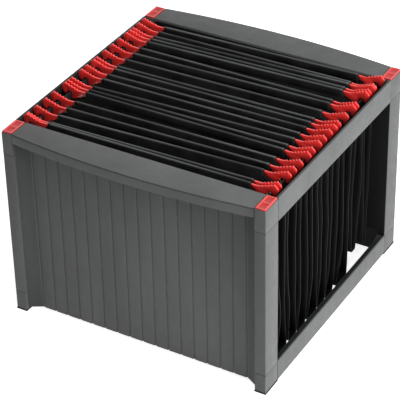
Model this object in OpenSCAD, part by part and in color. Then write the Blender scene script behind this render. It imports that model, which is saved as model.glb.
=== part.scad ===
// Portable file box: two moulded ends with a bowed carrying lip, joined at the
// sides by two pairs of rails, open at the sides, top and bottom. Suspension
// files hang in it by toothed plastic hooks that ride on the top rails.
// X runs along the files, Y along the rails, Z up. Sizes are in millimetres.
// The origin is on the surface the box stands on, under its middle.

/* [Box] */
// Width over the corner posts, along the files
box_w = 390; // [380:1:460]
// Depth over the corner posts, along the rails
box_d = 390; // [370:1:480]
// Height of the top face of the end bars
box_h = 288; // [270:1:340]

/* [Corner posts] */
// Width of a post, seen from the end of the box
post_w = 16; // [14:0.5:20]
// Depth of a post, seen from the side of the box
post_d = 33; // [30:0.5:40]
// Wall of the hollow posts, corner blocks and feet
post_wall = 2.4; // [1.8:0.1:3]
// Height of the corner block at each end of an end bar
block_h = 34.5; // [30:0.5:45]
// Height of a foot above its pad
foot_h = 28.5; // [22:0.5:34]
// Length of the spigots that the posts are pushed onto
spigot_h = 15; // [8:1:25]
// Clearance round a spigot, plug or tongue
fit_gap = 0.2; // [0.1:0.05:0.4]

/* [Pads and caps] */
// Thickness of the pad under a foot
pad_t = 2; // [1:0.5:4]
// How far a pad stands proud of its foot all round
pad_proud = 0.6; // [0:0.1:1]
// Thickness of the plate of a corner cap
cap_t = 2.2; // [1.6:0.1:3]
// How far a cap stands above the end bar
cap_proud = 0.6; // [0:0.1:1.5]
// Length of the plug under a cap
cap_plug = 6; // [3:0.5:12]
// Gap between a cap and the edge of its corner block
cap_inset = 0.8; // [0.2:0.1:1.2]
// Width of the raised border of a cap
cap_border = 2.4; // [1.5:0.1:3.5]
// Depth of the sunk fields of a cap
cap_sink = 0.6; // [0.3:0.1:1]

/* [End bars] */
// Thickness of the top plate of an end bar
bar_top_t = 3; // [2:0.1:5]
// How far the lip bows out at its middle
lip_bow = 12; // [6:0.5:18]
// Height of the lip
lip_h = 15; // [12:0.5:20]
// Thickness of the lip and of the flange behind it
lip_t = 3; // [2:0.1:4]
// Height of the groove under the top edge of the lip
lip_groove_h = 1.8; // [1:0.1:2.4]
// Depth of that groove
lip_groove_d = 1; // [0.5:0.1:1.5]
// Land above that groove
lip_land = 0.8; // [0.5:0.1:1.2]

/* [End panels] */
// How far a panel lies behind the front faces of its posts
panel_recess = 14.5; // [12:0.5:18]
// Thickness of a panel and of its flanges
panel_t = 2.5; // [2:0.1:4]
// Gap under a panel
panel_gap = 4.5; // [3:0.5:8]
// Width of the slanted cove beside each post
cove_w = 17; // [10:0.5:24]
// How far the outer edge of a cove lies behind the posts
cove_step = 5; // [3:0.5:8]
// Distance between the upright grooves
groove_pitch = 20; // [15:0.5:30]
// Width of a groove
groove_w = 3; // [2:0.1:4]
// Depth of a groove
groove_d = 1.4; // [0.8:0.1:1.8]
// Thickness of the lining on the inside of a panel
liner_t = 3; // [2:0.1:4]
// Thickness of the cover of the lining, in front of the posts
liner_cover = 1; // [0.8:0.1:1.2]
// Gap between that cover and the rails
liner_gap = 0.4; // [0.3:0.1:0.8]
// Height of the bead across that cover
bead_h = 1.5; // [1:0.1:3]
// How far the bead stands proud
bead_proud = 0.6; // [0.3:0.1:1]

/* [Rails] */
// Thickness of the outer wall of a rail
rail_wall = 2.2; // [2:0.1:3]
// Thickness of the flange of a rail
rail_floor = 2.5; // [2:0.1:4]
// Thickness of the outer wall of a hook channel
channel_wall = 1.2; // [1:0.1:2]
// Thickness of the floor of a hook channel
channel_floor = 1.5; // [1:0.1:2.5]
// Thickness of the lip of a hook channel, which lies in a rebate of its rail
channel_lip = 1; // [0.8:0.1:1.5]
// Width of the rail's top edge beside that lip
rail_land = 1; // [0.8:0.1:1.2]
// Thickness of the rib that the hooks hang on
rib_t = 2.5; // [2:0.1:3]
// Distance from the outside of the box to the middle of the rib
rib_in = 17.75; // [17.25:0.25:18.25]
// How far the top of the rib lies under the top of the box
rib_drop = 6.3; // [5:0.1:8]
// Height of a bottom rail
low_rail_h = 30.5; // [26:0.5:36]
// Gap under a bottom rail
low_rail_gap = 1.5; // [1:0.5:3]
// Width of a bottom rail with its flange
low_rail_w = 12; // [8:0.5:14]
// How far the flange lies under the top of a bottom rail
low_flange_drop = 7; // [4:0.5:10]
// Height and length of the gusset at each end of that flange
gusset = 16; // [8:1:24]
// Length of the tongues at the ends of the rails
tongue_l = 8; // [5:0.5:12]
// Height of a tongue
tongue_h = 14; // [8:0.5:18]
// Length of a tongue's root inside its rail
tongue_root = 6; // [4:0.5:10]

/* [Files] */
// How far the files have slid sideways on the ribs
file_shift = -2.3; // [-2.3:0.1:2.3]
// Gap between a pocket and the ribs on either side of it, when it hangs centred
pocket_side = 4; // [3:0.5:16]
// Gap under the lowest pockets
pocket_gap = 4; // [2:1:40]
// Width of the flat bottom of a pocket
pocket_base = 8; // [5:0.5:8]
// Thickness of the sheet that a pocket is folded from
sheet_t = 0.8; // [0.6:0.1:1]
// Height of the hem
hem_h = 10; // [8:0.5:11]
// Thickness of the hem over the bar
hem_t = 2.6; // [2.2:0.1:2.8]
// Thickness of the steel bar
bar_t = 1; // [0.8:0.1:1.2]
// Height of the tongue at each end of a bar
bar_tongue_h = 4; // [3:0.5:5]
// Length of the tongue at each end of a bar
bar_tongue_l = 16; // [10:0.5:18]
// Height of the sloping shoulders of a pocket
pocket_cut = 9; // [8:1:30]

/* [Hooks] */
// Length of a hook from its tip to its outer edge
hook_l = 38; // [37.5:0.1:38.5]
// Gap between a hook and the channel's outer wall, when the file hangs centred
hook_play = 2.6; // [2.6:0.1:3.5]
// Thickness of a hook
hook_t = 2.6; // [2.2:0.1:2.8]
// Clearance between the arch of a hook and the rib
hook_lift = 0.3; // [0.2:0.1:0.5]
// Half the width of the notch that fits over the rib
notch_half = 4.3; // [4.1:0.1:4.6]
// Rounding of the top corners of the notch
notch_r = 1.2; // [1:0.1:1.6]
// Height of the last tooth of a hook above the top of the rib
hook_rise = 11.4; // [10:0.1:12]
// Depth of a claw below the top of the rib
claw_drop = 4.9; // [3:0.1:6]
// Radius of the teeth
tooth_r = 1.5; // [1.2:0.1:1.6]
// Number of teeth
tooth_n = 5; // [3:1:5]

/* [Hidden] */
$fn = 64;
eps = 0.01;

// Where the bars hang, as shares of half the rail's length from the middle:
// left end and right end of each bar, two bars to a file, as in the photograph.
BARS = [
    [[-0.917, -0.903], [-0.894, -0.855]],
    [[-0.770, -0.694], [-0.640, -0.603]],
    [[-0.522, -0.496], [-0.354, -0.358]],
    [[-0.307, -0.287], [-0.249, -0.180]],
    [[-0.103, -0.088], [-0.019, 0.014]],
    [[0.085, 0.101], [0.135, 0.164]],
    [[0.267, 0.300], [0.388, 0.441]],
    [[0.497, 0.493], [0.621, 0.679]],
    [[0.677, 0.723], [0.728, 0.797]],
    [[0.817, 0.826], [0.915, 0.970]]
];
// Where the bottom of each file lies between its front bar and its back bar.
FOLDS = [0.55, 0.86, 0.3, 0.07, 0.68, 0.31, -0.3, 0.17, 0.02, 0.56];
// How much higher than the lowest the bottom of each file hangs.
LIFTS = [0, 0, 0, 0, 0, 0, 0, 0, 24, 19];

// Corner names, with the side of X and of Y that each is on.
corners = [
    ["front_left", -1, -1],
    ["front_right", 1, -1],
    ["back_left", -1, 1],
    ["back_right", 1, 1]
];

files = [for (k = [1:len(BARS)]) k];
function file_name(k, piece) = str("file_", k < 10 ? "0" : "", k, "_", piece);

half_w = box_w / 2;
half_d = box_d / 2;
// Inner faces of the posts, across and along the box.
inner_x = half_w - post_w;
inner_y = half_d - post_d;
rail_l = 2 * inner_y;
block_z = box_h - block_h;
foot_z = pad_t + foot_h;
bar_under_z = box_h - bar_top_t;
lip_z = box_h - lip_h;
// Top of the corner blocks, where the cap plates lie.
cap_z = box_h + cap_proud - cap_t;

// Radius of the lip, from its chord between the corner blocks and its bow.
lip_r = (inner_x * inner_x + lip_bow * lip_bow) / (2 * lip_bow);

rib_x = half_w - rib_in;
rib_in_x = rib_x - rib_t / 2;
rib_z = box_h - rib_drop;
low_rail_z = low_rail_gap + low_rail_h;

// Hooks: the notch sits over the rib, and everything else is set out from there.
notch_z = rib_z + hook_lift;
hook_end = half_w - rail_wall - channel_wall - hook_play;
hook_tip = hook_end - hook_l;
claw_z = rib_z - claw_drop;
tip_z = rib_z + 4.1;
hem_l = 2 * (hook_tip - 0.5);

// The top of a hem lies a little above the tips of its hooks. The bar fills the
// hem, and its tongues run on from its lower edge into the hooks.
hem_top = tip_z + 2;
hem_under = hem_top - hem_h;
bar_h = hem_h - 2;
bar_mid_z = hem_top - hem_h / 2;
tongue_mid_z = bar_mid_z - (bar_h - bar_tongue_h) / 2;
pocket_w = 2 * (rib_x - rib_t / 2 - pocket_side);

module in_corner(q) {
    translate([q[1] * (half_w - post_w / 2), q[2] * (half_d - post_d / 2), 0]) children();
}

// Rectangular tube standing on z, centred, with its outside at w by d.
module tube(w, d, wall, z, h) {
    translate([0, 0, z]) linear_extrude(h) difference() {
        square([w, d], center = true);
        square([w - 2 * wall, d - 2 * wall], center = true);
    }
}

// Spigot that slips into a post, and the ring shelf that joins it to the walls
// of the hollow block or foot it grows from.
module spigot(z, shelf_z) {
    less = 2 * (post_wall + fit_gap);
    tube(post_w - less, post_d - less, post_wall, z, spigot_h);
    translate([0, 0, shelf_z]) linear_extrude(post_wall) difference() {
        square([post_w - 2 * post_wall, post_d - 2 * post_wall], center = true);
        square([post_w - less - 2 * post_wall, post_d - less - 2 * post_wall], center = true);
    }
}

// Slot in the face of a block or foot that takes the tongue of a rail on side s.
module tongue_slot(q, mid_z) {
    slot_w = rail_wall + 2 * fit_gap;
    x = post_w / 2 - post_wall - slot_w / 2;
    translate([q[1] * x, -q[2] * (post_d - post_wall) / 2, mid_z])
        cube([slot_w, post_wall + 2 * eps, tongue_h + 2 * fit_gap], center = true);
}

top_tongue_z = block_z + block_h * 0.42;
low_tongue_z = pad_t + foot_h * 0.5;

// Half of the outline of an end bar's plate on the -Y side, with its bowed edge.
module bowed_region(inset) {
    intersection() {
        translate([-inner_x, -half_d - lip_bow]) square([2 * inner_x, lip_bow + post_d]);
        translate([0, -half_d - lip_bow + lip_r]) circle(r = lip_r - inset, $fn = 720);
    }
}

// End bar: top plate, bowed lip, flange behind it and a hollow corner block at
// each end that reaches down as a spigot into its post.
module end_bar(side) {
    rotate([0, 0, side < 0 ? 0 : 180]) {
        difference() {
            union() {
                translate([0, 0, bar_under_z]) linear_extrude(bar_top_t) bowed_region(0);
                translate([0, 0, lip_z]) linear_extrude(lip_h) difference() {
                    bowed_region(0);
                    bowed_region(lip_t);
                }
                translate([-inner_x, -inner_y - lip_t, lip_z]) cube([2 * inner_x, lip_t, lip_h]);
            }
            groove_z = box_h - lip_land - lip_groove_h;
            translate([0, 0, groove_z]) linear_extrude(lip_groove_h) difference() {
                bowed_region(-1);
                bowed_region(lip_groove_d);
            }
        }
        for (s = [-1, 1]) {
            q = ["", s, -1];
            in_corner(q) {
                difference() {
                    tube(post_w, post_d, post_wall, block_z, cap_z - block_z);
                    tongue_slot(q, top_tongue_z);
                }
                spigot(block_z - spigot_h, block_z);
            }
        }
    }
}

module front_top_bar() {
    color("#606363") end_bar(-1);
}

module back_top_bar() {
    color("#606363") end_bar(1);
}

// Upright grooves in the outer face of a panel, cut at y = 0.
module panel_grooves() {
    flat = inner_x - cove_w;
    n = floor((flat - groove_w / 2) / groove_pitch);
    for (k = [-n:n]) {
        x = k * groove_pitch;
        polygon([[x - groove_w / 2, -eps], [x + groove_w / 2, -eps], [x, groove_d]]);
    }
}

// End panel: a shallow tray whose sides sweep forward to the posts in coves.
module end_panel(side) {
    face = -half_d + panel_recess;
    edge = -half_d + cove_step;
    back = -inner_y - liner_t;
    flat = inner_x - cove_w;
    slope = atan2(panel_recess - cove_step, cove_w);
    inner_edge = edge + panel_t / cos(slope) + panel_t * tan(slope);
    bend = flat - panel_t * tan(slope / 2);
    rotate([0, 0, side < 0 ? 0 : 180]) {
        translate([0, 0, panel_gap]) linear_extrude(bar_under_z - panel_gap) difference() {
            polygon([
                [-inner_x, edge], [-flat, face], [flat, face], [inner_x, edge],
                [inner_x, back], [inner_x - panel_t, back], [inner_x - panel_t, inner_edge],
                [bend, face + panel_t], [-bend, face + panel_t],
                [panel_t - inner_x, inner_edge], [panel_t - inner_x, back], [-inner_x, back]
            ]);
            translate([0, face]) panel_grooves();
        }
        translate([-inner_x + eps, face + panel_t - eps, panel_gap])
            cube([2 * (inner_x - eps), back - face - panel_t + eps, panel_t]);
    }
}

module front_panel() {
    color("#505352") end_panel(-1);
}

module back_panel() {
    color("#505352") end_panel(1);
}

// Half of the outline of a lining's cover, which passes the rails with a gap.
cover_outline = [
    [0, panel_gap], [half_w - low_rail_w - liner_gap, panel_gap],
    [half_w - low_rail_w - liner_gap, low_rail_z + liner_gap],
    [half_w - liner_gap, low_rail_z + liner_gap], [half_w - liner_gap, block_z - liner_gap],
    [rib_in_x - liner_gap, block_z - liner_gap], [rib_in_x - liner_gap, bar_under_z - liner_gap],
    [0, bar_under_z - liner_gap]
];

// Lining that closes the inside of an end: a board between the posts, under the
// flange of the end bar, and a thin cover in front of posts and flange.
module liner(side) {
    color("#1c1e1e") rotate([0, 0, side < 0 ? 0 : 180]) {
        translate([-inner_x, -inner_y - liner_t, panel_gap])
            cube([2 * inner_x, liner_t, lip_z - panel_gap]);
        translate([0, -inner_y + liner_cover, 0]) rotate([90, 0, 0]) linear_extrude(liner_cover)
            union() {
                polygon(cover_outline);
                mirror([1, 0]) polygon(cover_outline);
            }
        bead_l = 2 * (half_w - low_rail_w);
        translate([-bead_l / 2, -inner_y + liner_cover - eps, low_rail_z + low_flange_drop])
            cube([bead_l, bead_proud + eps, bead_h]);
    }
}

module front_liner() {
    liner(-1);
}

module back_liner() {
    liner(1);
}

// Hollow post between a foot and a corner block.
module post(q) {
    color("#565958") in_corner(q) tube(post_w, post_d, post_wall, foot_z, block_z - foot_z);
}

// Foot: closed under its floor by the pad, with a spigot up into the post.
module foot(q) {
    color("#565958") in_corner(q) {
        difference() {
            tube(post_w, post_d, post_wall, pad_t, foot_h);
            tongue_slot(q, low_tongue_z);
        }
        inner_w = post_w - 2 * post_wall;
        inner_d = post_d - 2 * post_wall;
        translate([-inner_w / 2, -inner_d / 2, pad_t]) cube([inner_w, inner_d, post_wall]);
        spigot(foot_z, foot_z - post_wall);
    }
}

// Soft pad under a foot, a little wider than the foot.
module foot_pad(q) {
    w = post_w + 2 * pad_proud;
    d = post_d + 2 * pad_proud;
    color("#262828") in_corner(q) translate([-w / 2, -d / 2, 0]) cube([w, d, pad_t]);
}

// Corner cap: a plate with a raised border and two sunk fields, and its plug.
module corner_cap(q) {
    w = post_w - 2 * cap_inset;
    d = post_d - 2 * cap_inset;
    field_w = w - 2 * cap_border;
    field_d = (d - 3 * cap_border) / 2;
    plug_w = post_w - 2 * (post_wall + fit_gap);
    plug_d = post_d - 2 * (post_wall + fit_gap);
    color("#d8383c") in_corner(q) {
        difference() {
            translate([-w / 2, -d / 2, cap_z]) cube([w, d, cap_t]);
            for (s = [-1, 1])
                translate([-field_w / 2, s * (field_d + cap_border) / 2 - field_d / 2, cap_z + cap_t - cap_sink])
                    cube([field_w, field_d, cap_sink + 1]);
        }
        translate([0, 0, cap_z - cap_plug]) tube(plug_w, plug_d, post_wall, 0, cap_plug);
    }
}

// Tongue at both ends of a rail, which slips into a slot behind the wall of its
// block or foot, and the root that joins it to the wall of the rail.
module tongues(mid_z) {
    x = half_w - post_wall - fit_gap - rail_wall;
    for (s = [-1, 1]) {
        translate([x, s < 0 ? -inner_y - tongue_l : inner_y - tongue_root, mid_z - tongue_h / 2])
            cube([rail_wall, tongue_l + tongue_root, tongue_h]);
        translate([x, s < 0 ? -inner_y : inner_y - tongue_root, mid_z - tongue_h / 2])
            cube([half_w - rail_wall / 2 - x, tongue_root, tongue_h]);
    }
}

// Top rail on the +X side: a wall with a rebate along its top edge, and a flange that
// a hook channel stands on.
module top_rail_right() {
    rebate_z = box_h - channel_lip;
    translate([0, inner_y, 0]) rotate([90, 0, 0]) linear_extrude(rail_l) polygon([
        [half_w, block_z], [half_w, box_h], [half_w - rail_land, box_h],
        [half_w - rail_land, rebate_z], [half_w - rail_wall, rebate_z],
        [half_w - rail_wall, block_z + rail_floor], [rib_in_x, block_z + rail_floor],
        [rib_in_x, block_z]
    ]);
    tongues(top_tongue_z);
}

// Hook channel on the +X side: its outer wall stands against the rail, with a lip
// in the rail's rebate and a notch at each end round the root of the tongue, and its
// inner rib carries the hooks.
module hook_channel_right() {
    outer_x = half_w - rail_wall;
    floor_z = block_z + rail_floor;
    lip_under_z = box_h - channel_lip;
    rib_out_x = rib_x + rib_t / 2;
    notch_h = tongue_h + 2 * fit_gap;
    notch_l = tongue_root + fit_gap;
    difference() {
        translate([0, inner_y, 0]) rotate([90, 0, 0]) linear_extrude(rail_l) polygon([
            [rib_in_x, floor_z], [outer_x, floor_z], [outer_x, lip_under_z],
            [half_w - rail_land, lip_under_z], [half_w - rail_land, box_h],
            [outer_x - channel_wall, box_h],
            [outer_x - channel_wall, floor_z + channel_floor],
            [rib_out_x, floor_z + channel_floor], [rib_out_x, rib_z], [rib_in_x, rib_z]
        ]);
        for (s = [-1, 1])
            translate([outer_x - channel_wall / 2, s * (inner_y - notch_l / 2 + eps), top_tongue_z])
                cube([channel_wall + 2 * eps, notch_l + 2 * eps, notch_h], center = true);
    }
}

// Bottom rail on the +X side: a wall with a flange set below its top edge, and a
// gusset between them at each end.
module bottom_rail_right() {
    flange_z = low_rail_z - low_flange_drop;
    translate([0, inner_y, 0]) rotate([90, 0, 0]) linear_extrude(rail_l) polygon([
        [half_w, low_rail_gap], [half_w, low_rail_z], [half_w - rail_wall, low_rail_z],
        [half_w - rail_wall, flange_z], [half_w - low_rail_w, flange_z],
        [half_w - low_rail_w, flange_z - rail_floor], [half_w - rail_wall, flange_z - rail_floor],
        [half_w - rail_wall, low_rail_gap]
    ]);
    end_y = inner_y - liner_cover - liner_gap;
    foot_of = flange_z - rail_floor / 2;
    for (s = [0, 1]) mirror([0, s, 0])
        translate([half_w - low_rail_w + 1, 0, 0]) rotate([90, 0, 90])
            linear_extrude(low_rail_w - 1 - rail_wall / 2) polygon([
                [end_y, foot_of], [end_y, low_rail_z - 0.5], [end_y - gusset, flange_z],
                [end_y - gusset, foot_of]
            ]);
    tongues(low_tongue_z);
}

module left_top_rail() {
    color("#8b8d8c") mirror([1, 0, 0]) top_rail_right();
}

module right_top_rail() {
    color("#8b8d8c") top_rail_right();
}

module left_hook_channel() {
    color("#1c1e1e") mirror([1, 0, 0]) hook_channel_right();
}

module right_hook_channel() {
    color("#1c1e1e") hook_channel_right();
}

module left_bottom_rail() {
    color("#8b8d8c") mirror([1, 0, 0]) bottom_rail_right();
}

module right_bottom_rail() {
    color("#8b8d8c") bottom_rail_right();
}

// Y of a bar at x, on the straight line between its two ends. Here and below, x is
// measured from the middle of the file.
function bar_y(bar, x) = inner_y * (bar[0] + (bar[1] - bar[0]) * (x / hem_l + 0.5));

// Y of a fold at the bottom of a pocket under bar b, straight below a line
// beside its bar, half the bottom's width from the file's middle.
function fold_y(k, b, x) =
    let (front = bar_y(BARS[k - 1][0], 0), back = bar_y(BARS[k - 1][1], 0))
        front + FOLDS[k - 1] * (back - front) + (b - 0.5) * pocket_base
        + bar_y(BARS[k - 1][b], x) - bar_y(BARS[k - 1][b], 0);

// Sets what it holds on a bar: centred between its ends and turned to its line.
module on_bar(bar) {
    translate([file_shift, bar_y(bar, 0), 0])
        rotate([0, 0, atan2(inner_y * (bar[1] - bar[0]), hem_l)]) children();
}

// Pocket: one folded sheet with a hem over each bar, open at the top and sides.
module pocket(k) {
    w = pocket_w / 2;
    under_z = pocket_gap + LIFTS[k - 1];
    base_z = under_z + sheet_t / 2;
    color("#191b1b") {
        for (b = [0, 1]) {
            bar = BARS[k - 1][b];
            swing = fold_y(k, b, 0) - bar_y(bar, 0);
            drop = hem_under + 1 - base_z;
            long = norm([swing, drop]);
            top = hem_l / 2 - 1;
            shoulder = top + 0.6 * (w - top);
            on_bar(bar) {
                translate([0, 0, base_z + drop]) rotate([90 + atan2(swing, drop), 0, 0])
                    linear_extrude(sheet_t, center = true) polygon([
                        [-top, 0], [-shoulder, -0.58 * pocket_cut], [-w, -pocket_cut], [-w, -long],
                        [w, -long], [w, -pocket_cut], [shoulder, -0.58 * pocket_cut], [top, 0]
                    ]);
                difference() {
                    translate([0, 0, bar_mid_z]) cube([hem_l, hem_t, hem_h], center = true);
                    translate([0, 0, bar_mid_z]) cube([hem_l + 1, bar_t + 0.2, bar_h + 0.4], center = true);
                }
            }
        }
        x = w - 0.5;
        translate([file_shift, 0, under_z]) linear_extrude(sheet_t) polygon([
            [-x, fold_y(k, 0, -x)], [x, fold_y(k, 0, x)], [x, fold_y(k, 1, x)], [-x, fold_y(k, 1, -x)]
        ]);
    }
}

// Two flat steel bars, each with a narrow tongue at both ends for the hooks.
module bars(k) {
    color("#9a9c9c") for (bar = BARS[k - 1]) on_bar(bar) {
        long = hem_l + 2 * bar_tongue_l;
        translate([0, 0, bar_mid_z]) cube([hem_l - 4, bar_t, bar_h], center = true);
        translate([0, 0, tongue_mid_z]) cube([long, bar_t, bar_tongue_h], center = true);
    }
}

// Outline of a hook on the +X side: pointed tip, toothed back, round outer end,
// claw, and the notch between claw and body.
module hook_outline() {
    first = [rib_x - 11.4, tip_z];
    last = [rib_x + 6, rib_z + hook_rise - 1.3];
    end_r = 6;
    end_c = [hook_end - end_r, last[1] - end_r];
    difference() {
        union() {
            polygon([
                [hook_tip + 0.4, tip_z], [hook_tip + 6, tip_z - 0.5], first, last, end_c,
                [hook_end - 0.7, end_c[1] - 2.6], [hook_end - 1.7, claw_z + 4],
                [hook_end - 4, claw_z], [rib_x, claw_z], [rib_x, claw_z - 4.8],
                [rib_x - 5, claw_z - 4.8], [rib_x - 9.5, claw_z - 4.3], [rib_x - 14.5, claw_z - 1.3],
                [hook_tip + 4.2, rib_z - 2.7], [hook_tip + 2, rib_z + 0.3], [hook_tip + 0.2, tip_z - 1]
            ]);
            translate([hook_tip + 0.8, tip_z - 0.8]) circle(r = 0.8);
            for (t = [0:tooth_n - 1])
                translate(first + (last - first) * t / (tooth_n - 1)) circle(r = tooth_r);
            translate(end_c) circle(r = end_r);
        }
        // Notch with rounded top corners.
        translate([rib_x - notch_half, claw_z - 10])
            square([2 * notch_half, notch_z - notch_r - claw_z + 10]);
        for (s = [-1, 1])
            translate([rib_x + s * (notch_half - notch_r), notch_z - notch_r]) circle(r = notch_r);
        translate([rib_x - notch_half + notch_r, claw_z - 10])
            square([2 * (notch_half - notch_r), notch_z - claw_z + 10]);
    }
}

module hook() {
    difference() {
        translate([0, hook_t / 2, 0]) rotate([90, 0, 0]) linear_extrude(hook_t) hook_outline();
        slot_l = bar_tongue_l + hem_l / 2 + 0.2;
        translate([slot_l / 2, 0, tongue_mid_z])
            cube([slot_l, bar_t + 0.2, bar_tongue_h + 0.2], center = true);
    }
}

// Four hooks, one on each end of both bars.
module hooks(k) {
    color("#c8181e") for (bar = BARS[k - 1]) on_bar(bar) {
        hook();
        mirror([1, 0, 0]) hook();
    }
}

front_top_bar();
back_top_bar();
front_panel();
back_panel();
front_liner();
back_liner();
for (q = corners) {
    post(q);
    foot(q);
    foot_pad(q);
    corner_cap(q);
}
left_top_rail();
right_top_rail();
left_bottom_rail();
right_bottom_rail();
left_hook_channel();
right_hook_channel();
for (k = files) {
    pocket(k);
    bars(k);
    hooks(k);
}
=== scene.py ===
import math

import bmesh
import bpy
from mathutils import Matrix, Vector


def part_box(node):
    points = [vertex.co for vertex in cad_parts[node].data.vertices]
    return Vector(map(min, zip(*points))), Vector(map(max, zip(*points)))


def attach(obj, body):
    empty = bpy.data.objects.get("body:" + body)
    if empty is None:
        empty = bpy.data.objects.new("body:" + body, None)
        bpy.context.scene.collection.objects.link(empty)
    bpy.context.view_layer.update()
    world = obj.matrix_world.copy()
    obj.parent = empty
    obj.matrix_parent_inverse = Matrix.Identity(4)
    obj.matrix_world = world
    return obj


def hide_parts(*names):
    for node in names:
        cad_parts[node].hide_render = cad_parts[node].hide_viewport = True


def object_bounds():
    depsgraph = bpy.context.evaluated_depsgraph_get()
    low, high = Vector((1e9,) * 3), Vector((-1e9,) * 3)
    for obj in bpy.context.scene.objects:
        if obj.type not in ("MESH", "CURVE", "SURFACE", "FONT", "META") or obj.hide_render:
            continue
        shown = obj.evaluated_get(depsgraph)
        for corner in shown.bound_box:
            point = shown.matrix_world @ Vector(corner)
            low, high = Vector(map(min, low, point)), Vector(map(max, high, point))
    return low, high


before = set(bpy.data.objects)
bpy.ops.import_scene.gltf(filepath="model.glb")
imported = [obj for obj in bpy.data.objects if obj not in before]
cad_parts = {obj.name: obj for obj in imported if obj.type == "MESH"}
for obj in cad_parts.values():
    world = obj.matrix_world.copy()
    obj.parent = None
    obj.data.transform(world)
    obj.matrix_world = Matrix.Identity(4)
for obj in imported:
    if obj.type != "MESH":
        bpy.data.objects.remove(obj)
cad_low, cad_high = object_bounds()


# End bars. Each is one grey injection moulding: a top plate with a bowed lip to
# carry the box by, and a hollow block at each end that is pushed into its posts.
# The edges left by the mould are softened, and the parting seams stay crisp.
same_point = 2e-6               # metres: points nearer than this are one
flat_turn = math.radians(0.6)   # faces that turn less than this lie in one plane
mould_turn = 0.6                # radians: edges that turn more than this are rounded
crisp_turn = 0.9                # radians: edges that turn more than this shade crisp
seam = 0.0004                   # metres: the gap where two mouldings meet
meeting = 1e-5                  # metres: how near to its shoulder a point counts as on it
x_axis, y_axis, z_axis = 0, 1, 2


def softened(node, radius, steps=2, shoulder=None):
    """A copy of a CAD node as one closed mesh with its mould edges rounded.

    A shoulder is an axis and a distance either side of the middle, where the part
    meets its neighbours: it stands off them there by a seam.
    """
    mesh = bpy.data.meshes.new(node + "_moulding")
    shell = bmesh.new()
    shell.from_mesh(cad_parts[node].data)
    bmesh.ops.remove_doubles(shell, verts=shell.verts, dist=same_point)
    bmesh.ops.dissolve_limit(
        shell, angle_limit=flat_turn, verts=shell.verts, edges=shell.edges)
    if shoulder:
        axis, distance = shoulder
        for vert in shell.verts:
            if abs(abs(vert.co[axis]) - distance) < meeting:
                vert.co[axis] *= 1 - seam / distance
    sharp = [
        edge for edge in shell.edges
        if len(edge.link_faces) == 2 and edge.calc_face_angle() > mould_turn]
    bmesh.ops.bevel(
        shell, geom=sharp, offset=radius, offset_type="OFFSET", segments=steps,
        profile=0.5, affect="EDGES", clamp_overlap=True, material=-1)
    for face in shell.faces:
        face.smooth = True
    for edge in shell.edges:
        edge.smooth = len(edge.link_faces) == 2 and edge.calc_face_angle() < crisp_turn
    shell.to_mesh(mesh)
    shell.free()
    if "custom_normal" in mesh.attributes:
        mesh.attributes.remove(mesh.attributes["custom_normal"])
    mesh.materials.clear()
    piece = bpy.data.objects.new(node + "_moulding", mesh)
    bpy.context.scene.collection.objects.link(piece)
    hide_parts(node)
    return piece


def srgb(code):
    """Linear colour of an sRGB hex code."""
    parts = [int(code[i : i + 2], 16) / 255 for i in (1, 3, 5)]
    return (*(c / 12.92 if c <= 0.04045 else ((c + 0.055) / 1.055) ** 2.4 for c in parts), 1.0)


def add(tree, kind, settings=(), inputs=()):
    """Adds a node with its settings; an input is a value or another node's output."""
    made = tree.nodes.new(kind)
    for name, value in dict(settings).items():
        setattr(made, name, value)
    for name, value in dict(inputs).items():
        if isinstance(value, bpy.types.NodeSocket):
            tree.links.new(value, made.inputs[name])
        else:
            made.inputs[name].default_value = value
    return made


plastic_ior = 1.49
flow_marks = 14                 # to the metre: marks where the melt ran, about 70 mm wide
scuffs = 90                     # to the metre: patches that hands rub, about 11 mm wide


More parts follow.
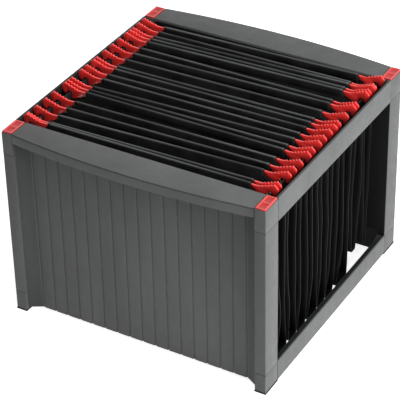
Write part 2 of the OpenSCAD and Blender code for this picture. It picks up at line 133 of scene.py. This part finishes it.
def moulded_plastic(name, light, dark, grain_mm, bite, sheen, streak, gleam):
    """Plastic from a textured mould: fine grain, faint flow marks and handling scuffs.

    Bite is how strongly the grain is bumped, sheen holds the lowest and the highest
    roughness, a streak below 1 draws the flow marks upright, and gleam is the
    specular level.
    """
    material = bpy.data.materials.new(name)
    material.use_nodes = True
    tree = material.node_tree
    shader = tree.nodes["Principled BSDF"]
    shader.inputs["IOR"].default_value = plastic_ior
    shader.inputs["Specular IOR Level"].default_value = gleam
    place = add(tree, "ShaderNodeTexCoord").outputs["Object"]
    grain = add(tree, "ShaderNodeTexNoise", inputs={
        "Vector": place, "Scale": 1000 / grain_mm, "Detail": 2.0, "Roughness": 0.6})
    stretched = add(tree, "ShaderNodeMapping", inputs={
        "Vector": place, "Scale": (flow_marks, flow_marks, flow_marks * streak)})
    flow = add(tree, "ShaderNodeTexNoise", inputs={
        "Vector": stretched.outputs["Vector"], "Scale": 1.0, "Detail": 4.0, "Distortion": 0.4})
    flow_band = add(tree, "ShaderNodeMapRange", inputs={
        "Value": flow.outputs["Fac"], "From Min": 0.3, "From Max": 0.7, "To Max": 0.6})
    speck = add(tree, "ShaderNodeMapRange", inputs={
        "Value": grain.outputs["Fac"], "From Min": 0.3, "From Max": 0.7, "To Max": 0.4})
    blend = add(tree, "ShaderNodeMath", {"operation": "ADD"}, {
        0: flow_band.outputs["Result"], 1: speck.outputs["Result"]})
    tint = add(tree, "ShaderNodeMix", {"data_type": "RGBA"}, {
        0: blend.outputs[0], 6: srgb(dark), 7: srgb(light)})
    scuffed = add(tree, "ShaderNodeTexNoise", inputs={
        "Vector": place, "Scale": scuffs, "Detail": 6.0, "Roughness": 0.75})
    gloss = add(tree, "ShaderNodeMapRange", inputs={
        "Value": scuffed.outputs["Fac"], "From Min": 0.35, "From Max": 0.7,
        "To Min": sheen[0], "To Max": sheen[1]})
    bump = add(tree, "ShaderNodeBump", inputs={
        "Height": grain.outputs["Fac"], "Strength": bite, "Distance": grain_mm / 4000})
    tree.links.new(tint.outputs[2], shader.inputs["Base Color"])
    tree.links.new(gloss.outputs["Result"], shader.inputs["Roughness"])
    tree.links.new(bump.outputs["Normal"], shader.inputs["Normal"])
    return material


# Grey polypropylene from a spark-eroded mould: a matte stone grey with a fine grain,
# faint upright flow marks and rubbed patches that shine a little more. The real
# grain is about 0.2 mm, drawn at 0.9 mm so that it still shows.
grey_polypropylene = moulded_plastic(
    "grey_polypropylene", "#656666", "#515252",
    grain_mm=0.9, bite=0.5, sheen=(0.45, 0.65), streak=0.3, gleam=0.25)

for end in ("front", "back"):
    bar = softened(end + "_top_bar", radius=0.0008, steps=3)
    bar.data.materials.append(grey_polypropylene)
    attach(bar, "box")


# End panels and their linings. A panel is a thin grey sheet moulding with upright
# V-grooves and slanted sides that reach forward to the posts. The lining behind
# it is a flat dark sheet that the files face.
panel_end = abs(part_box("front_left_post")[1][0])
cove_reach = 0.009              # metres: the strip before each post drawn darker as painted shade

# Black polypropylene board, extruded and cut: dull, with a fine pressed grain of
# about 0.3 mm, drawn at 0.9 mm, so that the linings stay the darkest thing inside.
black_board = moulded_plastic(
    "black_board", "#0d0d0d", "#090909",
    grain_mm=0.9, bite=0.3, sheen=(0.6, 0.75), streak=0.3, gleam=0.15)

# The same grey polypropylene, drawn darker where the panels' sides curve forward into the recess
# before each post: painted shade. Its grain is drawn alike.
cove_painted_shade = moulded_plastic(
    "cove_painted_shade", "#5d5e5e", "#4b4c4c",
    grain_mm=0.9, bite=0.5, sheen=(0.6, 0.75), streak=0.3, gleam=0.15)

for end in ("front", "back"):
    panel = softened(end + "_panel", radius=0.0003, shoulder=(x_axis, panel_end))
    panel.data.materials.append(grey_polypropylene)
    panel.data.materials.append(cove_painted_shade)
    # Faces within cove_reach of a post take the painted shade.
    for face in panel.data.polygons:
        face.material_index = int(abs(face.center.x) > panel_end - cove_reach)
    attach(panel, "box")
    lining = softened(end + "_liner", radius=0.0004)
    lining.data.materials.append(black_board)
    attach(lining, "box")


# Corner posts and feet. Hollow grey mouldings that plug into each other with
# spigots, so a fine seam runs round each joint. A soft black pad under each foot
# keeps the box from sliding.
corners = ("front_left", "front_right", "back_left", "back_right")
seam_lean = 0.45                # how far a face in a seam leans along its part, from 0 to 1

# Black rubber, pressed in a blasted mould: very dull, rough at about 0.3 mm, drawn
# at 0.6 mm, and greyed by dust from the floor.
pad_rubber = moulded_plastic(
    "pad_rubber", "#282a2a", "#1e2020",
    grain_mm=0.6, bite=0.4, sheen=(0.7, 0.9), streak=1.0, gleam=0.2)

# The same grey polypropylene painted nearly black inside its seams, as painted shade: the
# rounded ends of posts, feet and rails read as fine dark lines.
seam_shade = moulded_plastic(
    "seam_shade", "#1e1f1f", "#181919",
    grain_mm=0.9, bite=0.5, sheen=(0.6, 0.8), streak=0.3, gleam=0.1)


def seamed(face, axis):
    """1 for the rounded ends of a part, which lie in the seam to the next part."""
    return int(abs(face.normal[axis]) > seam_lean)


for corner in corners:
    for part in ("_post", "_foot"):
        upright = softened(corner + part, radius=0.0006, steps=3)
        upright.data.materials.append(grey_polypropylene)
        upright.data.materials.append(seam_shade)
        for face in upright.data.polygons:
            # Faces leaning along the post or foot lie in a seam and take the painted shade.
            face.material_index = seamed(face, z_axis)
        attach(upright, "box")
    pad = softened(corner + "_foot_pad", radius=0.0005)
    pad.data.materials.append(pad_rubber)
    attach(pad, "box")


# Corner caps. Small glossy red mouldings that snap into the tops of the corner
# blocks, each with a raised border and two sunk fields.
def lightened(material, low, high, colour, patches=None):
    """Blends a material to a lighter colour from one height to another, in metres.

    The colour lies evenly, or in patches of so many to the metre along X, Y and Z.
    """
    tree = material.node_tree
    shader = tree.nodes["Principled BSDF"]
    place = next(n for n in tree.nodes if n.type == "TEX_COORD").outputs["Object"]
    height = add(tree, "ShaderNodeSeparateXYZ", inputs={"Vector": place})
    share = add(tree, "ShaderNodeMapRange", inputs={
        "Value": height.outputs["Z"], "From Min": low, "From Max": high}).outputs["Result"]
    if patches:
        spread = add(tree, "ShaderNodeMapping", inputs={"Vector": place, "Scale": patches})
        worn = add(tree, "ShaderNodeTexNoise", inputs={
            "Vector": spread.outputs["Vector"], "Scale": 1.0, "Detail": 3.0})
        amount = add(tree, "ShaderNodeMapRange", inputs={
            "Value": worn.outputs["Fac"], "From Min": 0.35, "From Max": 0.65, "To Min": 0.25})
        share = add(tree, "ShaderNodeMath", {"operation": "MULTIPLY"}, {
            0: share, 1: amount.outputs["Result"]}).outputs[0]
    mixed_in = add(tree, "ShaderNodeMix", {"data_type": "RGBA"}, {
        0: share, 6: shader.inputs["Base Color"].links[0].from_socket, 7: srgb(colour)})
    tree.links.new(mixed_in.outputs[2], shader.inputs["Base Color"])


# Red polystyrene from a polished mould: an even, glossy signal red with hardly any
# grain (0.5 mm ripples). Its raised border is painted paler than the sunk fields: a painted
# highlight.
red_styrene = moulded_plastic(
    "red_styrene", "#cc3234", "#bc2a2c",
    grain_mm=0.5, bite=0.1, sheen=(0.22, 0.34), streak=1.0, gleam=0.3)

for corner in corners:
    cap = softened(corner + "_corner_cap", radius=0.0003)
    cap.data.materials.append(red_styrene)
    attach(cap, "box")

cap_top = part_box("front_left_corner_cap")[1][2]
field_high = cap_top - 0.0005
border_high = cap_top - 0.0001
# Painted highlight: the top of the raised border is drawn lighter than the sunk fields.
lightened(red_styrene, field_high, border_high, "#e65a54")


# Side rails and hook channels. The top rails are grey walls with a flange drawn dark, which
# black channels stand on; the bottom rails are strips with a flange and gussets drawn dark,
# partly as painted shade.
# All are mouldings, and the rails' tongues slip into the corner blocks and feet.
rail_wall = 0.0072              # metres: the grey wall; everything further in is drawn dark, partly as painted shade
lip_skin = 0.0003               # metres: how deep the painted highlight on top of a lip reaches
rail_inside = abs(cad_low[0]) - rail_wall
rail_end = abs(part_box("front_left_post")[1][1])
lip_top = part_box("left_hook_channel")[1][2]

# Black polypropylene from the same kind of mould as the grey: a neutral black
# with a soft shine along its edges. Its 0.2 mm grain is drawn at 0.9 mm.
black_polypropylene = moulded_plastic(
    "black_polypropylene", "#1a1c1c", "#121414",
    grain_mm=0.9, bite=0.25, sheen=(0.4, 0.55), streak=0.3, gleam=0.25)

# The inside of the rails, flange and gussets, drawn dark grey: partly the black inner
# profile, partly painted shade where the walls and the top rail keep the light off. Its grain is
# drawn alike.
dark_inside_painted_shade = moulded_plastic(
    "dark_inside_painted_shade", "#3e4040", "#323434",
    grain_mm=0.9, bite=0.25, sheen=(0.5, 0.65), streak=0.3, gleam=0.25)

# The same black on the right channel's lip, painted a flat grey: a painted highlight
# where the lip faces the softbox on the right. Its grain is drawn alike.
lip_painted_highlight = moulded_plastic(
    "lip_painted_highlight", "#4c4e4e", "#3c3e3e",
    grain_mm=0.9, bite=0.3, sheen=(0.5, 0.65), streak=0.3, gleam=0.25)

for side in ("left", "right"):
    for part in ("_top_rail", "_bottom_rail"):
        rail = softened(side + part, radius=0.0005, steps=3, shoulder=(y_axis, rail_end))
        rail.data.materials.append(grey_polypropylene)
        rail.data.materials.append(dark_inside_painted_shade)
        rail.data.materials.append(seam_shade)
        # Faces inside the wall take the dark inside with its painted shade; rounded ends in the
        # seams take seam_shade's painted shade.
        for face in rail.data.polygons:
            inside = abs(face.center.x) < rail_inside
            face.material_index = 1 if inside else 2 * seamed(face, y_axis)
        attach(rail, "box")
    channel = softened(side + "_hook_channel", radius=0.0003)
    channel.data.materials.append(black_polypropylene)
    channel.data.materials.append(lip_painted_highlight)
    for face in channel.data.polygons:
        # Only the right lip takes the painted highlight.
        face.material_index = int(side == "right" and face.center.z > lip_top - lip_skin)
    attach(channel, "box")


# Suspension files: pockets. Each is one sheet of black polypropylene foil, folded into
# two walls and a wide bottom that hang in waves. Its ends are wrapped over two steel
# bars as hems, with their flaps welded down inside. Sizes are in metres.
foil = 0.0007                   # how thick the foil is
wrap = 0.00095                  # from the middle of a bar to the middle of the foil on it
flap_gap = 0.00005              # between a flap and its wall
hem_half = 0.1505               # half the length of a hem
pocket_half = 0.172             # half the width of a pocket
slid = -0.0023                  # how far right of the middle the files hang
hem_high = 0.2878               # top of the hems
bar_low = 0.2788                # lower edge of the bars
flap_low = 0.2745               # lower edge of the flaps
fold_start = 0.060              # where the walls start to draw in to the bottom
fold_ease = 0.05                # over this height above it they draw together by the wrap
turn_high = 0.0025              # height of the rounded turn from wall to bottom
turn_wide = 0.002               # width of the same turn
left_bulge = 0.4                # the left edge bulges this much of what the right does

# Heights down the sloped shoulders with half the width there, and the heights at
# which each wall's right edge was measured.
shoulders = ((bar_low, hem_half), (0.2736, 0.163), (0.2698, pocket_half))
stations = (0.205, 0.130, fold_start)

# The foil's waves: how high each stands in metres, how fast it turns in radians to the
# metre, and how far it is ahead from file to file. The broad wave is 185 mm long, the
# narrow one 88 mm and leaning, and the ripples along the side edges are 84 mm long.
broad_high = 0.0007
broad_turn = 34
broad_ahead = 2.1
narrow_high = 0.0005
narrow_turn = 71
narrow_lean = 30
ripple_high = 0.0006
ripple_turn = 75
ripple_ahead = 1.7

# Black polypropylene foil, rolled and embossed: a satin black, drawn greyer as painted light
# where the light reaches down between the files, and pale in spots along the hems' rounded tops
# as a painted highlight. Its 0.1 mm embossing is drawn at 0.6 mm.
black_foil = moulded_plastic(
    "black_foil", "#121212", "#0b0b0b",
    grain_mm=0.6, bite=0.25, sheen=(0.65, 0.8), streak=0.2, gleam=0.08)
# Painted light: the foil is drawn greyer between these heights.
lit_low = 0.19
lit_high = 0.275
lightened(black_foil, lit_low, lit_high, "#292929", patches=(30, 60, 30))
# Painted highlight along the hems' rounded tops.
hem_highlight_low = hem_high - 0.0026
hem_highlight_high = hem_high - 0.0006
lightened(black_foil, hem_highlight_low, hem_highlight_high, "#646666", patches=(4, 45, 0))

# The same foil on its cut edges, drawn paler as a painted highlight: a thin line round each
# pocket's sides.
foil_edge_highlight = moulded_plastic(
    "foil_edge_highlight", "#2c2c2c", "#222222",
    grain_mm=0.6, bite=0.1, sheen=(0.5, 0.6), streak=0.2, gleam=0.2)

# Millimetres, file by file: the left and right end of the front hem and of the
# back hem; where each wall passes the stations at its right edge; where the middle
# of the bottom lies at the left and at the right; how high the bottom hangs; and
# how wide it sags.
hangings = (
    ((-148.6, -146.3), (-144.9, -138.5), (-147, -147, -147), (-140, -140, -137),
     (-139.5, -133.2), 2.2, 27),
    ((-124.7, -112.4), (-103.7, -97.7), (-113.7, -110.5, -105), (-95.5, -95.5, -94),
     (-110, -103.6), 2.0, 30),
    ((-84.6, -80.4), (-57.3, -58.0), (-85.5, -85.3, -80.3), (-65, -65, -63.5),
     (-75, -71.9), 2.0, 23),
    ((-49.7, -46.5), (-40.3, -29.2), (-50.5, -50, -49), (-35, -31, -29),
     (-50, -47), 2.0, 25.2),
    ((-16.7, -14.3), (-3.1, 2.3), (-17, -14.5, -14), (-3, 0, 0),
     (-18.6, -15.4), 2.0, 30),
    ((13.8, 16.4), (21.9, 26.6), (10, 12.5, 11), (26, 29, 28),
     (9.3, 12.1), 2.0, 23.6),
    ((43.3, 48.6), (62.9, 71.4), (41, 41, 38), (58, 57.5, 56),
     (33.5, 36.4), 2.0, 23.6),
    ((80.5, 79.9), (100.6, 110.0), (75, 78.5, 78), (97, 93.5, 95),
     (73.5, 75.2), 2.0, 34.5),
    ((109.7, 117.1), (117.9, 129.1), (112, 106, 106), (130, 132, 122.5),
     (105, 112.7), 28.5, 12),
    ((132.4, 133.8), (148.2, 157.1), (138, 141, 143.5), (157, 155, 152.8),
     (142, 147), 23, 9),
)


def mixed(a, b, share):
    """What lies a share of the way from one value to another."""
    return a + (b - a) * share


def along(points, height):
    """Value at a height on a smooth curve through (height, value) points, highest first."""
    last = len(points) - 1
    span = next((i for i in range(last) if height >= points[i + 1][0]), last - 1)
    tilt = []
    for i in (span, span + 1):
        above = points[max(i - 1, 0)]
        below = points[min(i + 1, last)]
        tilt.append((below[1] - above[1]) / (below[0] - above[0]))
    (z0, y0), (z1, y1) = points[span], points[span + 1]
    t = (height - z0) / (z1 - z0)
    return (
        y0 * (2 * t**3 - 3 * t**2 + 1) + y1 * (3 * t**2 - 2 * t**3)
        + (z1 - z0) * (tilt[0] * (t**3 - 2 * t**2 + t) + tilt[1] * (t**3 - t**2)))


def wall_edges(hem, passes, bottoms, low):
    """The left and the right edge of a wall, each as (height, Y) points in metres."""
    reach = (pocket_half / hem_half - 1) / 2
    hems = [hem[0] - (hem[1] - hem[0]) * reach, hem[1] + (hem[1] - hem[0]) * reach]
    left = [(bar_low, hems[0] / 1000)]
    right = [(bar_low, hems[1] / 1000)]
    for height, y in zip(stations, passes):
        share = (bar_low - height) / (bar_low - low)
        bulge = y - mixed(hems[1], bottoms[1], share)
        right.append((height, y / 1000))
        left.append((height, (mixed(hems[0], bottoms[0], share) + left_bulge * bulge) / 1000))
    return left, right


def on_wall(edges, height, share):
    """Y of a wall at a height, a share of the way from its left edge to its right one."""
    return mixed(along(edges[0], height), along(edges[1], height), share)


def half_width(height):
    """Half the width of a pocket: its hem is shorter, and shoulders slope between."""
    if height >= shoulders[0][0]:
        return shoulders[0][1]
    for (z0, w0), (z1, w1) in zip(shoulders, shoulders[1:]):
        if height >= z1:
            return mixed(w0, w1, (height - z0) / (z1 - z0))
    return pocket_half


# Rows of points along the sheet, from the end of one flap to the middle of the bottom.
# Each has the stretch it lies on and a height in metres, an angle or a share of it.
arc_z = hem_high - foil / 2 - wrap
round_steps = 6
rows = [("flap", z) for z in (flap_low, 0.2765, bar_low, 0.2828, arc_z)]
rows += [("arc", math.pi * k / round_steps) for k in range(1, round_steps)]
rows += [("wall", z) for z in (arc_z, 0.2828, bar_low, 0.2762, 0.2736, 0.2717, 0.2698, 0.2660)]
rows += [("wall", 0.2600 - 0.0100 * k) for k in range(20)]
rows += [("drop", k / 5) for k in range(5)]
rows += [("turn", math.pi / 2 * k / round_steps) for k in range(round_steps + 1)]
rows += [("base", share) for share in (0.3, 0.6, 0.87)]


def pocket_point(file, number, side, kind, value, across):
    """Place on the sheet; side is -1 in front and 1 behind, across runs from -1 to 1."""
    front_hem, back_hem, front_passes, back_passes, bottoms, low_mm, wide_mm = file
    hems, passes = (back_hem, back_passes) if side > 0 else (front_hem, front_passes)
    low = low_mm / 1000
    half = wide_mm / 2000
    share = (across + 1) / 2
    hem = mixed(hems[0], hems[1], share) / 1000
    edges = wall_edges(hems, passes, bottoms, low)

    x = across * hem_half
    if kind == "flap":
        inner = hem - side * wrap if value >= bar_low else hem + side * (wrap - foil - flap_gap)
        return x + slid, inner, value
    if kind == "arc":
        return x + slid, hem - side * wrap * math.cos(value), arc_z + wrap * math.sin(value)
    if kind == "wall" and value >= bar_low:
        return x + slid, hem + side * wrap, value
    if kind == "wall":
        x = across * half_width(value)
        share = (x / pocket_half + 1) / 2
        y = on_wall(edges, value, share) + side * wrap * min(1, (value - fold_start) / fold_ease)
        z = value
    else:
        x = across * pocket_half
        middle = mixed(bottoms[0], bottoms[1], share) / 1000
        if kind == "drop":
            y = mixed(on_wall(edges, fold_start, share), middle + side * half, value**1.5)
            z = mixed(fold_start, low + turn_high, value)
        elif kind == "turn":
            y = middle + side * (half - turn_wide * (1 - math.cos(value)))
            z = low + turn_high * (1 - math.sin(value))
        else:
            y = middle + side * (half - turn_wide) * (1 - value)
            z = low
    fade = max(0.0, math.sin(math.pi * min(1, (bar_low - z) / (bar_low - low))))
    broad = broad_high * math.sin(x * broad_turn + number * broad_ahead)
    narrow = narrow_high * math.sin(x * narrow_turn - z * narrow_lean + number)
    edge = ripple_high * abs(across) ** 6
    ripple = edge * math.sin(z * ripple_turn + number * ripple_ahead + side)
    return x + slid, y + (broad + narrow + ripple) * fade, z


columns = 44
crowding = 0.4                  # how much closer the columns stand towards the sides
last_row = 2 * len(rows) - 1

for number, file in enumerate(hangings, start=1):
    name = f"file_{number:02d}"
    sheet = bmesh.new()
    bmesh.ops.create_grid(sheet, x_segments=columns, y_segments=last_row, size=1)
    for vert in sheet.verts:
        row = round((vert.co.y + 1) / 2 * last_row)
        side = -1 if row < len(rows) else 1
        kind, value = rows[row if side < 0 else last_row - row]
        across = mixed(vert.co.x, math.sin(vert.co.x * math.pi / 2), crowding)
        vert.co = pocket_point(file, number, side, kind, value, across)
    for face in sheet.faces:
        face.smooth = True
    mesh = bpy.data.meshes.new(name + "_sheet")
    sheet.to_mesh(mesh)
    sheet.free()
    pocket = bpy.data.objects.new(name + "_sheet", mesh)
    bpy.context.scene.collection.objects.link(pocket)
    gauge = pocket.modifiers.new("gauge", "SOLIDIFY")
    gauge.thickness = foil
    gauge.offset = 0
    # The rims take the painted highlight of the cut edges.
    gauge.material_offset_rim = 1
    mesh.materials.append(black_foil)
    mesh.materials.append(foil_edge_highlight)
    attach(pocket, name)
    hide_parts(name + "_pocket")


# Bars and hooks. Each hem is stiffened by a flat steel bar, and a red moulded hook
# is pushed onto each end of it. The hooks' teeth take index tabs.

# Red nylon from a polished mould: clear bright red, glossy, with 0.5 mm ripples that
# break its highlights.
red_nylon = moulded_plastic(
    "red_nylon", "#fe423e", "#f83632",
    grain_mm=0.5, bite=0.08, sheen=(0.18, 0.3), streak=1.0, gleam=0.8)

# Cold-rolled steel strip: bright grey metal with fine mill marks of about 0.2 mm,
# drawn at 0.6 mm; it shows only in the hems' open ends. A metal keeps the default IOR.
rolled_steel = moulded_plastic(
    "rolled_steel", "#9a9c9c", "#8a8c8c",
    grain_mm=0.6, bite=0.1, sheen=(0.3, 0.45), streak=1.0, gleam=0.5)
steel_shader = rolled_steel.node_tree.nodes["Principled BSDF"]
steel_shader.inputs["Metallic"].default_value = 1.0
steel_shader.inputs["IOR"].default_value = 1.5

for number in range(1, len(hangings) + 1):
    name = f"file_{number:02d}"
    hooks = softened(name + "_hooks", radius=0.00035)
    hooks.data.materials.append(red_nylon)
    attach(hooks, name)
    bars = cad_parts[name + "_bars"]
    bars.data.materials.clear()
    bars.data.materials.append(rolled_steel)


# Floor and backdrop. A sheet of matt white paper lies under the box. It is lit and
# takes the box's shadow, and what looks straight at it or mirrors it finds it white.
floor_half = 6                  # metres
paper_lift = 0.85               # what the paper glows with, so that it reads as white
studio_fill = 0.21              # the plain light that the room gives the box


def backdrop_rays(tree):
    """1 for rays that see the background: from the camera, off a gloss or through glass."""
    ray = add(tree, "ShaderNodeLightPath")
    mirrored = add(tree, "ShaderNodeMath", {"operation": "MAXIMUM"}, {
        0: ray.outputs["Is Glossy Ray"], 1: ray.outputs["Is Transmission Ray"]})
    return add(tree, "ShaderNodeMath", {"operation": "MAXIMUM"}, {
        0: ray.outputs["Is Camera Ray"], 1: mirrored.outputs[0]}).outputs[0]


floor_mesh = bpy.data.meshes.new("floor")
ground = bmesh.new()
bmesh.ops.create_grid(ground, x_segments=1, y_segments=1, size=floor_half)
ground.to_mesh(floor_mesh)
ground.free()
floor = bpy.data.objects.new("floor", floor_mesh)
bpy.context.scene.collection.objects.link(floor)

# Uncoated background paper, rolled smooth: flat, matt and a little off white.
paper = bpy.data.materials.new("matt_paper")
paper.use_nodes = True
paper_tree = paper.node_tree
paper_shader = paper_tree.nodes["Principled BSDF"]
paper_shader.inputs["Base Color"].default_value = srgb("#e8e8e8")
paper_shader.inputs["Roughness"].default_value = 0.9
paper_shader.inputs["Emission Color"].default_value = (1, 1, 1, 1)
paper_glow = add(paper_tree, "ShaderNodeMath", {"operation": "MULTIPLY"}, {
    0: backdrop_rays(paper_tree), 1: paper_lift})
paper_tree.links.new(paper_glow.outputs[0], paper_shader.inputs["Emission Strength"])
floor_mesh.materials.append(paper)

world = bpy.data.worlds.new("studio")
bpy.context.scene.world = world
world.use_nodes = True
sky = world.node_tree
sky.nodes["Background"].inputs["Color"].default_value = (1, 1, 1, 1)
sky_power = add(sky, "ShaderNodeMapRange", inputs={
    "Value": backdrop_rays(sky), "To Min": studio_fill, "To Max": 1.0})
sky.links.new(sky_power.outputs["Result"], sky.nodes["Background"].inputs["Strength"])


# Lights and camera. One large softbox stands to the right and a smaller one hangs
# above the front; the camera looks down on the front right corner.
def softbox(name, place, aim, width, height, power):
    """A soft lamp with a flat face of width and height in metres, turned to its aim."""
    lamp = bpy.data.lights.new(name, "AREA")
    lamp.shape = "RECTANGLE"
    lamp.size = width
    lamp.size_y = height
    lamp.energy = power
    stand = bpy.data.objects.new(name, lamp)
    bpy.context.scene.collection.objects.link(stand)
    stand.location = place
    stand.rotation_euler = (Vector(aim) - Vector(place)).to_track_quat("-Z", "Y").to_euler()


softbox("key_right", (2.1, -0.25, 0.9), (0, 0, 0.15), width=1.4, height=1.4, power=60)
softbox("overhead", (0.25, -0.25, 1.6), (0, 0, 0.2), width=1.0, height=0.8, power=8.5)

# The camera's place, angles and focal length were fitted to the box's corners in
# the photograph.
azimuth = math.radians(30.7263)
elevation = math.radians(33.8905)
roll = math.radians(-1.3075)
tripod = Vector((1.07574596, -1.83160038, 1.55413646))
sensor_mm = 36
focal_px = 1857.208
frame_px = 400
eye = bpy.data.cameras.new("camera")
eye.sensor_width = sensor_mm
eye.lens = sensor_mm * focal_px / frame_px
eye.clip_start = 0.1
eye.clip_end = 50
camera = bpy.data.objects.new("camera", eye)
bpy.context.scene.collection.objects.link(camera)
bpy.context.scene.camera = camera
back = Vector((
    math.sin(azimuth) * math.cos(elevation), -math.cos(azimuth) * math.cos(elevation),
    math.sin(elevation)))
right = Vector((math.cos(azimuth), math.sin(azimuth), 0))
up = back.cross(right)
turned_right = right * math.cos(roll) + up * math.sin(roll)
turned_up = -right * math.sin(roll) + up * math.cos(roll)
camera.matrix_world = Matrix((
    (turned_right.x, turned_up.x, back.x, tripod.x),
    (turned_right.y, turned_up.y, back.y, tripod.y),
    (turned_right.z, turned_up.z, back.z, tripod.z),
    (0, 0, 0, 1)))

bpy.context.scene.view_settings.view_transform = "Standard"
